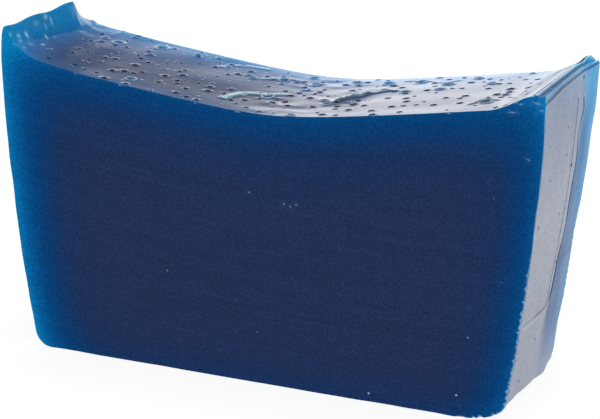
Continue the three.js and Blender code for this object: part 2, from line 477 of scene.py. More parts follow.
def paleness(along, y):
    """Painted highlights on thin raised skin: rings, ridges, blisters, the shelf's crest and the ridges
    beside the creases.
    """
    pale = np.zeros_like(along, float)
    for line, _, width, strength, dark_front in ridge_lines:
        gap, side = distance_to_line(along, y, line)
        behind = 1 - DARK_FRONT_LOSS * dark_front * smoothstep(0.1, -0.5, side * gap / width)
        pale = np.maximum(pale, strength * behind * np.exp(-(gap / width / 0.8) ** 2))
    for a, b, r, strength in craters:
        reach, broken = ring_reach(along, y, a, b, r)
        pale = np.maximum(pale, strength * broken * np.exp(-((reach - 1) / 0.22) ** 2))
    for a, b, length, width, rise in BLISTERS:
        pale = np.maximum(pale, BLISTER_HIGHLIGHT * rise * blister(along, y, a, b, length, width))
    pale = np.maximum(pale, np.exp(-((along - SHELF_CREST_AT) / SHELF_CREST_WIDTH) ** 2))
    wall_pale = np.zeros_like(along, float)
    for line, _, _ in crease_lines[:2]:
        gap, side = distance_to_line(along, y, line)
        ridge = (side > 0) * np.exp(-((gap - 0.55) / 0.22) ** 2)
        wall_pale = np.maximum(wall_pale, CREASE_RIDGE_HIGHLIGHT * ridge)
    return np.where(along < CREASE_AT, pale, wall_pale)


# Painted shade on a ridge's front side for each millimetre of its height, and painted shade
# in the hollow on the knob
DARK_FRONT_SHADE = 0.75
KNOB_SHADE = 0.72


def painted_shade(along, y):
    """Painted shade in pits, pinholes, creases, grooves and on the front of ridges, 0 to 1."""
    shade = np.zeros_like(along, float)
    for a, b, r, *_ in list(pits) + pinholes:
        reach = np.hypot(along - a, y - b) / r
        shade = np.maximum(shade, smoothstep(0.95, 0.55, reach))
    for line, height, width, _, dark_front in ridge_lines:
        gap, side = distance_to_line(along, y, line)
        front = DARK_FRONT_SHADE * dark_front * height * (side < 0)
        shade = np.maximum(shade, front * np.exp(-((gap / width - 0.7) / 0.4) ** 2))
    before_knob = smoothstep(KNOB_FULL_Y, KNOB_START_Y, y)
    for at, depth, width in shelf_lines:
        kept = 1 if at == CREASE_AT else before_knob
        shade = np.maximum(shade, kept * depth * np.exp(-((along - at) / width) ** 2))
    on_knob = smoothstep(KNOB_START_Y - 0.6, KNOB_START_Y + 0.6, y)
    on_knob = on_knob * smoothstep(along_at_inset(4.4), along_at_inset(3.4), along)
    inner_side = smoothstep(along_at_inset(1.8), along_at_inset(2.4), along)
    shade = np.maximum(shade, KNOB_SHADE * on_knob * inner_side)
    for line, _, width in crease_lines:
        gap, _ = distance_to_line(along, y, line)
        shade = np.maximum(shade, CREASE_SHADE * crease_fade(y) * np.exp(-(gap / width / 0.85) ** 2))
    return shade


def crease_fade(y):
    """Creases die away towards the front edge."""
    return 0.35 + 0.65 * smoothstep(-12, -1, y)


def moulded_relief(along, y):
    """Relief of the ends and base: gentle unevenness, creases and pinholes."""
    height = uneven(along, y, *MOULD_SWELL) + uneven(along, y, *MOULD_DRAG)
    for line, depth, width in crease_lines:
        gap, side = distance_to_line(along, y, line)
        ridge = CREASE_RIDGE_HEIGHT * (side > 0) * np.exp(-((gap - 0.5) / 0.25) ** 2)
        height += (-depth * np.exp(-(gap / width) ** 2) + ridge) * crease_fade(y)
    for a, b, r in pinholes:
        reach = np.hypot(along - a, y - b) / r
        height += np.where(reach < 2, bowl(reach, PINHOLE_DEPTH * r, PINHOLE_RIM), 0)
    return height


def relief(along, y):
    """Relief anywhere on the skin, fading between the pour and the moulded faces."""
    past_crest = np.minimum(along, AROUND - along)
    into_mould = smoothstep(0, 1.5, along - CREASE_AT) * smoothstep(0, 1.5, AROUND - along)
    on_pour = smoothstep(0, 1, past_crest) * smoothstep(0, 1, CREASE_AT - along)
    total = np.zeros_like(along, float)
    pour = along < CREASE_AT
    total[pour] = (pour_relief(along, y) * on_pour)[pour]
    total[~pour] = (moulded_relief(along, y) * into_mould)[~pour]
    return total


# The left crest falls and waves towards the front, and is broken away towards the back
CREST_SHARE = 1.03
CREST_FALL = 0.065
CREST_WAVE = 0.028
CREST_WAVE_LENGTH = 12.8
CHIP_START_Y = 8.8
# What is left of the crest past the start of the break: y, share
CHIP = [(8.8, 1), (9.8, 0.78), (11.2, 0.57), (13, 0.44), (15, 0.33), (17.2, 0.25)]
# The lip's foot falls away evenly towards the back, by this share of its rise
FOOT_LOSS = 0.65


def left_crest_share(y):
    """Height of the left lip as a share of its full rise."""
    slope = CREST_SHARE - CREST_FALL * (CHIP_START_Y - y) / (CHIP_START_Y + HALF_DEPTH)
    wave = CREST_WAVE * (np.cos(2 * math.pi * (y + 7) / CREST_WAVE_LENGTH) - 0.6)
    return (np.minimum(slope, CREST_SHARE) + wave) * np.interp(y, *np.transpose(CHIP))


def lowered_left(x, y, z):
    """Heights of the pour surface with the left lip lowered at its crest and its foot."""
    foot = 1 - FOOT_LOSS * (y + HALF_DEPTH) / (2 * HALF_DEPTH)
    on_crest = smoothstep(3.6 - RIM_HALF, 1.6 - RIM_HALF, x)
    share = foot + (left_crest_share(y) - foot) * on_crest
    on_lip = FOOT_Z + (z - FOOT_Z) * share
    return np.where(x < LEFT_FOOT_X, on_lip, z - left_foot_lift(x) * (1 - foot))


# How far the right wall stands out at its back edge: height, outward shift
BACK_LEAN = [(0, -0.9), (4.5, -1), (6.5, -0.6), (9, -0.38), (14, -0.35), (22, -0.5), (32, -0.4),
             (42, 0.15), (52, 0.55), (62, 0.75), (70, 0.8)]
# The shift grows from nothing to its full size between these places in the depth
LEAN_START_Y = 7
LEAN_FULL_Y = 16.5
# The right lip sinks towards the back, and the toe there comes down to the ground
SHELF_SINK = 0.3
TOE_SHARPEN = 0.95
# The swollen back corner of the right lip: distance in from the wall, height above the foot
KNOB = [(0.2, 2.75), (0.8, 2.85), (1.2, 3.4), (1.9, 3.95), (2.8, 3.8), (3.7, 2.9), (5, 2.2),
        (7, 1.1), (9.8, -0.1)]
KNOB_START_Y = 12.8
KNOB_FULL_Y = 15.2


def right_end_shift(x, y, z):
    """Shift in x and z of the right end towards the back."""
    backward = smoothstep(-HALF_DEPTH, HALF_DEPTH, y)
    out = np.interp(z, *np.transpose(BACK_LEAN)) * smoothstep(LEAN_START_Y, LEAN_FULL_Y, y)
    out = out * smoothstep(RIGHT_FOOT_X - 6, RIM_HALF - 3, x)
    on_lip = smoothstep(FOOT_Z - 0.5, FOOT_Z + 0.8, z) * smoothstep(RIGHT_FOOT_X - 1, RIGHT_FOOT_X + 2, x)
    up = -SHELF_SINK * backward * on_lip * smoothstep(RIM_HALF - 1.5, RIM_HALF - 4, x)
    toe = smoothstep(2 * TOE_HEIGHT, 0.9 * TOE_HEIGHT, z) * smoothstep(RIM_HALF - 16, RIM_HALF - 12, x)
    return out, up - TOE_SHARPEN * z * toe * backward


# The thin fin outside the knob reaches this far from the crease along the outline, and
# loses this share of its height beside the knob
FIN_RUN = 1.85
FIN_LOSS = 0.6
# The crease below the right lip climbs behind the front edge
CREASE_Z = FOOT_Z + 2.2
CREASE_TOP_Z = FOOT_Z + 3.4
CREASE_CLIMB = 0.7
CREASE_CLIMB_BELOW = 2.5


def climbing_crease(along, y, z):
    """Heights near the crease, raised where it climbs; the fin above it dies out at the knob."""
    above = (CREASE_TOP_Z - z) / (CREASE_TOP_Z - CREASE_Z)
    below = 1 - (CREASE_Z - z) / CREASE_CLIMB_BELOW
    near = np.clip(np.where(z > CREASE_Z, above, below), 0, 1)
    beside = np.abs(along - CREASE_AT) < 4
    climbed = z + np.where(beside, CREASE_CLIMB * near * smoothstep(-HALF_DEPTH, -4, y), 0)
    fin = np.maximum(climbed - (CREASE_Z + CREASE_CLIMB), 0) * beside * (along < CREASE_AT)
    return climbed - FIN_LOSS * fin * smoothstep(KNOB_START_Y - 1, KNOB_FULL_Y + 1, y)


def knob_height(x, y, z):
    """Heights with the knob of the back corner blended in over the shelf's ridges."""
    target = FOOT_Z + np.interp(RIM_HALF - x, *np.transpose(KNOB))
    share = smoothstep(KNOB_START_Y, KNOB_FULL_Y, y) * smoothstep(RIGHT_FOOT_X, RIGHT_FOOT_X + 1.5, x)
    return z + (target - z) * share * smoothstep(FOOT_Z, FOOT_Z + 2, z + 1.2)


def skin(along, y):
    """Places in space of points of the skin, as x, y, z in millimetres."""
    point, normal = on_outline(along)
    raise_by = relief(along, y)
    x = point[:, 0] + normal[:, 0] * raise_by
    z = point[:, 1] + normal[:, 1] * raise_by
    outside = FOOT_Z + np.maximum(z - FOOT_Z, 0) * left_crest_share(y)
    outside = np.where((z > FOOT_Z) & (x < 0), outside, z)
    z = np.where(along < CREASE_AT, lowered_left(x, y, z), outside)
    z = np.where(along < CREASE_AT - FIN_RUN, knob_height(x, y, z), climbing_crease(along, y, z))
    out, up = right_end_shift(x, y, z)
    x = x + out
    z = z + up
    return np.stack([x, y, np.maximum(z, 0)], 1), normal


# ------------------------------------------------------------------ cut edges
# Rounding of the edges between the skin and the cut faces
EDGE_RADIUS = 0.15
EDGE_FINE_CHANGE = 0.02
EDGE_SLOW_CHANGE = 0.03
EDGE_LIMITS = (0.04, 0.75)
BASE_EDGE_SHARE = 0.6
FRONT_EDGE_SEED = 21
BACK_EDGE_SEED = 31
# The lower right edges are torn: extra radius, and more in the chips
TORN_RADIUS = 0.12
TORN_CHIP = 0.34
# Nicks in the edges of the dish
EDGE_NICK_COUNT = 10
EDGE_NICK_SPACING = 6
EDGE_NICK_RISE = (0.08, 0.22)
EDGE_NICK_WIDTH = (0.3, 0.8)


def edge_round(along, front):
    """Radius of the edge between the skin and a cut face: crisp, with nicks."""
    seed = FRONT_EDGE_SEED if front else BACK_EDGE_SEED
    flat = along * 0
    fine = swell(along, flat, 1.3, 1, seed) * swell(along, flat, 5, 1, seed + 7)
    slow = swell(along, flat, 6, 1, seed + 1)
    x, z = np.transpose(on_outline(along)[0])
    size = EDGE_RADIUS + EDGE_FINE_CHANGE * fine + EDGE_SLOW_CHANGE * slow
    size = size * np.where(z < 0.5, BASE_EDGE_SHARE, 1)
    chips = np.maximum(swell(along, flat, 1.1, 1, seed + 3), 0)
    torn = (TORN_RADIUS + TORN_CHIP * chips) * smoothstep(37, 24, z)
    size = np.where((x > 40) & (z < 34) & (along > CREASE_AT), size + torn, size)
    span = (along_at_x(-40), along_at_x(50))
    nicks, rng = scattered(EDGE_NICK_COUNT, span, 0.01, EDGE_NICK_SPACING, seed + 2)
    for a, _ in nicks:
        rise = rng.uniform(*EDGE_NICK_RISE)
        size = size + rise * np.exp(-((along - a) / rng.uniform(*EDGE_NICK_WIDTH)) ** 2)
    if not front:
        size = size * (1 - 0.7 * smoothstep(3.5, 2, np.abs(along - CREASE_AT)))
    return np.clip(size, *EDGE_LIMITS)


def edge_highlight(along, size, front):
    """Painted highlights on the edges: pale where torn, and along the whole front edge of the right end."""
    torn = np.clip((size - 0.26) * 5, 0, 0.8)
    right_edge = (along > CREASE_AT) & (along < along_at_z(1)) & front
    return np.where(right_edge, np.maximum(torn, 0.5), torn)


# Arcs of the blade: x of their top, how they bend, and two sets of ripples
KNIFE_TOP_X = 25
KNIFE_BEND = 0.00145
KNIFE_SWELL = (0.012, 160, 2.3, 41)
KNIFE_RIPPLE = (0.006, 90, 0.9, 42)


def knife_marks(x, z):
    """Faint arcs that the blade left on a cut face."""
    sweep = z - KNIFE_BEND * (x - KNIFE_TOP_X) ** 2
    return uneven(x, sweep, *KNIFE_SWELL) + uneven(x, sweep, *KNIFE_RIPPLE)


def thinned(points, cell):
    """Drops points that share a small cell with an earlier one."""
    keys = np.floor(points / cell).astype(np.int64)
    _, first = np.unique(keys, axis=0, return_index=True)
    return points[np.sort(first)]


def triangulated(border, inner):
    """Triangles of a region from its border loop and its inner points."""
    points = np.concatenate([border, inner])
    loop = list(range(len(border)))
    _, _, faces, origin, _, _ = delaunay_2d_cdt([Vector(p) for p in points], [], [loop], 1, 1e-6)
    source = np.array([o[0] if o else -1 for o in origin])
    triangles = np.array([source[list(f)] for f in faces])
    return points, triangles[(triangles >= 0).all(1)]


def around_spot(a, b, radius, rings, count):
    """Circles of points that carry a pit or a crater."""
    points = [(a, b)]
    for k, share in enumerate(rings):
        turn = np.arange(count) * 2 * math.pi / count + 0.5 * k
        points += list(zip(a + share * radius * np.cos(turn), b + share * radius * np.sin(turn)))
    return points


def along_line(line, offsets, step):
    """Rows of points beside a ridge or crease."""
    line = spaced(line, step)
    tangent = np.gradient(line, axis=0)
    tangent /= np.linalg.norm(tangent, axis=1)[:, None]
    across = np.stack([-tangent[:, 1], tangent[:, 0]], 1)
    return np.concatenate([line + across * offset for offset in offsets])


def hexagonal(low, high, step, seed):
    """A slightly shaken triangular grid over a rectangle."""
    rng = np.random.default_rng(seed)
    rows = np.arange(low[1], high[1], step * 0.866)
    grid = []
    for k, row in enumerate(rows):
        line = np.arange(low[0] + (k % 2) * step / 2, high[0], step)
        grid.append(np.stack([line, np.full(len(line), row)], 1))
    grid = np.concatenate(grid)
    return grid + rng.uniform(-0.12, 0.12, grid.shape) * step


# Circles of points in a pit and in a crater, as shares of its radius
PIT_RINGS = (0.35, 0.62, 0.82, 0.95, 1.08, 1.25, 1.6)
CRATER_RINGS = (0.2, 0.42, 0.6, 0.74, 0.85, 0.94, 1.02, 1.1, 1.2, 1.34, 1.55, 1.85)
# Circles reach this many radii, and grid points keep off
RING_REACH = 1.75
# Rows of points beside a ridge and beside a crease, as shares of its width
RIDGE_ROWS = np.array([-2, -1.4, -1, -0.6, -0.3, 0, 0.3, 0.6, 1, 1.4, 2])
CREASE_ROWS = np.array([-3.4, -2.6, -2, -1.4, -0.9, -0.45, 0, 0.45, 0.9, 1.4, 2, 2.6, 3.4])
# Spacing of the grids: left lip, dish, end walls, base
LIP_GRID = 0.42
DISH_GRID = 0.62
WALL_GRID = 0.8
BASE_GRID = 1.1
# Distance from a border to the row of points that supports it
SUPPORT = 0.22
# The shelf's ridges run this far along the outline before the crease
SHELF_RUN = 5


def pour_points():
    """Sets of points of the pour surface, of which the last two are grids."""
    points = []
    for a, b, r, _ in craters:
        points += around_spot(a, b, r, CRATER_RINGS, 22)
    for a, b, r, _, _ in pits:
        points += around_spot(a, b, r, PIT_RINGS, 11)
    points = [np.array(points)]
    for line, _, width, *_ in ridge_lines:
        points.append(along_line(line, width * RIDGE_ROWS, 0.3))
    fine_lip = hexagonal((0, -HALF_DEPTH), (along_at_x(LEFT_FOOT_X), HALF_DEPTH), LIP_GRID, 1)
    dish = hexagonal((0, -HALF_DEPTH), (CREASE_AT - SHELF_RUN, HALF_DEPTH), DISH_GRID, 3)
    return points + [lined_rows(CREASE_AT - SHELF_RUN, CREASE_AT), fine_lip, dish]


def lined_rows(start, end):
    """Rows of points along the depth, one at each point of the outline."""
    at = outline_at[(outline_at > start) & (outline_at < end)]
    at = np.append(at, start + np.array([0.15, 0.32, 0.55]))
    y = np.arange(-HALF_DEPTH + 0.3, HALF_DEPTH, 0.45)
    a, b = np.meshgrid(at, y)
    return np.stack([a.ravel(), b.ravel()], 1)


def moulded_points():
    """Sets of points of the ends and base, of which the last three are grids."""
    points = []
    for a, b, r in pinholes:
        points += around_spot(a, b, r, PIT_RINGS, 10)
    points = [np.array(points)]
    for line, _, width in crease_lines:
        points.append(along_line(line, width * CREASE_ROWS, 0.35))
    points.append(lined_rows(CREASE_AT, CREASE_AT + 0.9))
    right_end = along_at_z(2)
    left_start = AROUND - (right_end - CREASE_AT) - 4
    reaches = [(CREASE_AT, right_end, WALL_GRID, 4), (right_end, left_start, BASE_GRID, 5),
               (left_start, AROUND, WALL_GRID, 6)]
    for start, end, step, seed in reaches:
        points.append(hexagonal((start, -HALF_DEPTH), (end, HALF_DEPTH), step, seed))
    return points


def strip(first, last, inner, rounds):
    """Triangulates the skin between two points of the outline, short of the rounded edges."""
    index = np.arange(first, last + 1)
    along = outline_at[index]
    wrapped = index % len(outline)
    front = np.stack([along, rounds[True][wrapped] - HALF_DEPTH], 1)
    back = np.stack([along, HALF_DEPTH - rounds[False][wrapped]], 1)
    far = spaced([front[-1], back[-1]], 0.5)[1:-1]
    near = spaced([back[0], front[0]], 0.5)[1:-1]
    border = np.concatenate([front, far, back[::-1], near])
    filled = thinned(np.concatenate(inner), 0.13)
    inside = (filled[:, 0] > along[0] + 0.25) & (filled[:, 0] < along[-1] - 0.25)
    limit_front = np.interp(filled[:, 0], along, front[:, 1]) + SUPPORT * 1.7
    limit_back = np.interp(filled[:, 0], along, back[:, 1]) - SUPPORT * 1.7
    inside &= (filled[:, 1] > limit_front) & (filled[:, 1] < limit_back)
    supports = [(front + [0, SUPPORT])[1:-1], (back - [0, SUPPORT])[1:-1]]
    return triangulated(border, np.concatenate(supports + [filled[inside]]))


def calm(points, spots, reach):
    """Keeps grid points off the places whose own rings of points carry them."""
    keep = np.ones(len(points), bool)
    for a, b, r in spots:
        keep &= np.hypot(points[:, 0] - a, points[:, 1] - b) > reach * r
    return points[keep]


# Order of the bar's materials
CUT, POURED, MOULDED = 0, 1, 2


def skin_strips(rounds):
    """The pour surface and the moulded ends and base, as parts of the mesh."""
    pour = pour_points()
    spots = [tuple(c[:3]) for c in craters] + [tuple(p[:3]) for p in pits]
    pour[-2:] = [calm(grid, spots, RING_REACH) for grid in pour[-2:]]
    mould = moulded_points()
    mould[-3:] = [calm(grid, pinholes, RING_REACH) for grid in mould[-3:]]
    strips = [(POURED, 0, CREASE_INDEX, pour), (MOULDED, CREASE_INDEX, len(outline), mould)]
    parts = []
    for slot, first, last, inner in strips:
        flat, faces = strip(first, last, inner, rounds)
        place = (flat[:, 0], flat[:, 1])
        parts.append((skin(*place)[0], faces, slot, paleness(*place), painted_shade(*place)))
    return parts


# The rounded edge's three loops: share of its radius inwards, and off the cut face
BEVEL = ((0, 1), (0.29, 0.29), (1, 0))


def edge_loops(side, size):
    """Three loops of points from the skin to a cut face, and the outline's normals."""
    edge, normal = skin(outline_at[:-1], side * (HALF_DEPTH - size))
    loops = []
    for inset, depth in BEVEL:
        loop = edge.copy()
        loop[:, 0] -= normal[:, 0] * size * inset
        loop[:, 2] -= normal[:, 1] * size * inset
        loop[:, 1] = side * (HALF_DEPTH - size * depth)
        loops.append(loop)
    return loops, normal


def bands(count):
    """Triangles that join three loops of the same number of points."""
    here = np.arange(count)
    after = (here + 1) % count
    faces = []
    for low, high in ((0, count), (count, 2 * count)):
        faces.append(np.stack([low + here, low + after, high + after], 1))
        faces.append(np.stack([low + here, high + after, high + here], 1))
    return np.concatenate(faces)


def cut_side(front, size):
    """A rounded edge and the cut face inside it, as parts of the mesh."""
    side = -1 if front else 1
    loops, normal = edge_loops(side, size)
    torn = edge_highlight(outline_at[:-1], size, front)
    rim = np.concatenate(loops)
    # The rim carries the painted highlights of its edge
    rim_pale = np.concatenate([0.6 * torn, torn, 0 * torn])
    points, faces, pale = cut_face(loops[2], normal, side)
    return [(rim, bands(len(size)), CUT, rim_pale, np.zeros(len(rim))),
            (points, faces, CUT, pale, np.zeros(len(points)))]


def build_bar():
    """The closed mesh of the bar: skin, rounded cut edges and two cut faces."""
    rounds = {front: edge_round(outline_at[:-1], front) for front in (True, False)}
    parts = skin_strips(rounds)
    for front in (True, False):
        parts += cut_side(front, rounds[front])
    vertices, triangles, slots, marks = [], [], [], []
    count = 0
    for points, faces, slot, pale, shade_paint in parts:
        vertices.append(points)
        triangles.append(np.asarray(faces) + count)
        slots.append(np.full(len(faces), slot))
        marks.append(np.stack([pale, shade_paint], 1))
        count += len(points)
    return [np.concatenate(part) for part in (vertices, triangles, slots, marks)]


# Painted highlights of small nicks in the front face: x, z, half length, half width, tilt in degrees
NICKS = [
    (48.8, 59, 0.6, 0.07, 4), (53.2, 61, 0.6, 0.07, -12), (54.1, 59.8, 0.3, 0.07, 10),
    (52.1, 50.8, 0.3, 0.06, -35), (5.5, 37, 0.22, 0.08, 30), (6.8, 36.6, 0.16, 0.09, -20),
    (8, 37.1, 0.22, 0.08, 10), (-1.7, 38.4, 0.14, 0.1, 0), (-22.9, 56.2, 0.22, 0.08, 15),
    (-22.2, 55.7, 0.16, 0.1, -30), (50.4, 60.6, 0.35, 0.06, 15),
]
NICK_RINGS = (0, 0.4, 0.8, 1.2, 1.8)
NICK_HIGHLIGHT = 0.65


def nick_share(x, z, nick):
    """Distance from a nick's middle: 0 there, 1 on its outline."""
    a, b, length, width, tilt = nick
    turn = math.radians(tilt)
    u = (x - a) * math.cos(turn) + (z - b) * math.sin(turn)
    v = (z - b) * math.cos(turn) - (x - a) * math.sin(turn)
    return np.hypot(u / length, v / width)


def nick_points():
    """Rings of points that carry the nicks."""
    points = []
    for a, b, length, width, tilt in NICKS:
        c, s = math.cos(math.radians(tilt)), math.sin(math.radians(tilt))
        for share in NICK_RINGS:
            for k in range(12):
                u = share * length * math.cos(k * math.pi / 6)
                v = share * width * math.sin(k * math.pi / 6)
                points.append((a + u * c - v * s, b + u * s + v * c))
    return np.array(points)


def nearest_nick(x, z):
    """The same distance for the nearest nick."""
    return np.min([nick_share(x, z, nick) for nick in NICKS], 0)


# Steps of the cut faces' grid, its seed, and how far the marks lie below the edges
CUT_COLUMNS = 1.3
CUT_ROWS = 0.55
CUT_SEED = 51
CUT_SINK = 0.02


def cut_face(border, normal, side):
    """A flat knife cut inside its border loop, with faint marks of the blade."""
    flat = border[:, [0, 2]]
    rng = np.random.default_rng(CUT_SEED + side)
    x, z = np.meshgrid(np.arange(-RIM_HALF, RIM_HALF, CUT_COLUMNS), np.arange(0.3, CREST_Z, CUT_ROWS))
    grid = np.stack([x.ravel(), z.ravel()], 1) + rng.uniform(-0.1, 0.1, (x.size, 2))
    support = flat - normal * SUPPORT
    if side < 0:
        grid = grid[nearest_nick(*grid.T) > 2.5]
        grid = thinned(np.concatenate([nick_points(), grid]), 0.02)
    inner = grid[inside_loop(grid, flat - normal * SUPPORT * 2)]
    support = support[inside_loop(support, flat - normal * SUPPORT * 0.5)]
    points, faces = triangulated(flat, np.concatenate([support, inner]))
    y = np.full(len(points), side * HALF_DEPTH, float)
    moved = np.arange(len(points)) >= len(flat) + len(support)
    y[moved] += side * knife_marks(*points[moved].T) - side * CUT_SINK
    pale = np.zeros(len(points))
    if side < 0:
        # Painted highlights on the nicks
        pale = NICK_HIGHLIGHT * np.exp(-nearest_nick(*points.T) ** 2)
    return np.stack([points[:, 0], y, points[:, 1]], 1), faces, pale


def inside_loop(points, loop):
    """Which points lie inside a closed loop, by crossings of a ray."""
    inside = np.zeros(len(points), bool)
    for (x0, z0), (x1, z1) in zip(loop, np.roll(loop, -1, 0)):
        if z0 != z1:
            crosses = (z0 > points[:, 1]) != (z1 > points[:, 1])
            inside ^= crosses & (points[:, 0] < (x1 - x0) * (points[:, 1] - z0) / (z1 - z0) + x0)
    return inside


# ------------------------------------------------------------------ inner light
# Painted glow: the light that enters near the edges and is absorbed on its way in is painted
# into the colour. Each pair of faces that meet at an edge has a strength, and each face a
# rate of fading per millimetre.
EDGE_GLOW = {
    ("front", "left"): 0.98, ("front", "right"): 0.17, ("front", "top"): 0.36, ("front", "base"): 0.1,
    ("back", "left"): 1.0, ("back", "right"): 1.3, ("back", "top"): 1.35, ("back", "base"): 0.15,
    ("left", "top"): 0.5, ("right", "top"): 0.36, ("left", "base"): 0.35, ("right", "base"): 0.3,
}
FADE = {"left": 0.24, "right": 0.27, "front": 0.24, "back": 0.125, "top": 0.2, "base": 0.3}
# Glow of the left lip, of the right end's skin and of the right lip's shelf
LIP_GLOW = 1.15
END_GLOW = 0.3
SHELF_GLOW = 0.35


def inner_glow(x, y, z):
    """How far the painted glow lights up the compound at a surface point, from 0 in the core."""
    surface = np.interp(x, top_points[:, 0], top_points[:, 1])
    reach = wall_reach(z)
    distance = {"left": x + reach, "right": reach - x, "front": y + HALF_DEPTH, "back": HALF_DEPTH - y,
                "top": surface - z, "base": z}
    near = {name: np.exp(-FADE[name] * np.maximum(gap, 0)) for name, gap in distance.items()}
    glow = sum(strength * near[a] * near[b] for (a, b), strength in EDGE_GLOW.items())
    lip = smoothstep(FOOT_Z - 0.5, FOOT_Z + 5, z) * smoothstep(-44, -50, x)
    shelf = smoothstep(FOOT_Z + 1.8, FOOT_Z + 2.8, z) * smoothstep(51.5, 53, x)
    shelf = shelf * smoothstep(0.05, 0.5, y + HALF_DEPTH)
    glow = glow + (LIP_GLOW - glow) * lip
    return glow + END_GLOW * near["right"] + SHELF_GLOW * shelf


# The painted sheen ends at this line, z and y, with this softness, z and millimetres
SHEEN_END = [(17.2, 2), (19.5, 2.4), (28, 4.3), (39.5, 7.2), (45.5, 8.4), (54.5, 9.5), (66, 9.5)]
SHEEN_BLUR = [(4, 4.5), (17, 0.6), (50, 0.5), (58, 3.5)]
CLEAR_SHARE = 0.97


def sheen_amount(x, y, z):
    """Where the right end gets painted sheen, standing in for reflection of the bright backdrop: all but the
    strip behind its long crease.
    """
    past = (y - np.interp(z, *np.transpose(SHEEN_END))) / np.interp(z, *np.transpose(SHEEN_BLUR))
    clear = smoothstep(-1, 1, past) * smoothstep(3, 17, z + 0.5 * y) * CLEAR_SHARE
    on_wall = smoothstep(RIM_HALF - 9, RIM_HALF - 5, x + 0.06 * (FOOT_Z - z))
    above_crease = smoothstep(CREASE_Z - 0.1, CREASE_Z + 0.5, z)
    above_crease = above_crease * smoothstep(RIM_HALF - 0.1, RIM_HALF - 0.25, x)
    on_shelf = smoothstep(FOOT_Z + 0.4, FOOT_Z + 1, z) * smoothstep(RIM_HALF - 0.5, RIM_HALF - 0.65, x)
    return (1 - clear) * on_wall * (1 - 0.6 * above_crease) * (1 - 0.7 * on_shelf)


def clean(mesh):
    """Joins the parts along their shared points and turns every face outwards."""
    working = bmesh.new()
    working.from_mesh(mesh)
    bmesh.ops.remove_doubles(working, verts=working.verts, dist=2e-6)
    bmesh.ops.dissolve_degenerate(working, edges=working.edges, dist=1e-7)
    bmesh.ops.triangulate(working, faces=[f for f in working.faces if len(f.verts) > 3])
    bmesh.ops.recalc_face_normals(working, faces=working.faces)
    for face in working.faces:
        face.smooth = True
    working.to_mesh(mesh)
    working.free()


def make_piece(name, vertices, triangles, slots, marks, materials):
    """The bar as an object, with its painted glow, painted sheen, painted highlights and painted shade on it.
    """
    mesh = bpy.data.meshes.new(name)
    mesh.from_pydata((vertices * MM).tolist(), [], triangles.tolist())
    mesh.polygons.foreach_set("material_index", slots.astype(np.int32))
    paint = {"glow": inner_glow(*vertices.T), "sheen_mask": sheen_amount(*vertices.T),
             "pale": marks[:, 0], "shade_paint": marks[:, 1]}
    for label, values in paint.items():
        mesh.attributes.new(label, "FLOAT", "POINT").data.foreach_set("value", values.astype(np.float32))
    clean(mesh)
    for material in materials:
        mesh.materials.append(material)
    piece = bpy.data.objects.new(name, mesh)
    bpy.context.scene.collection.objects.link(piece)
    return piece


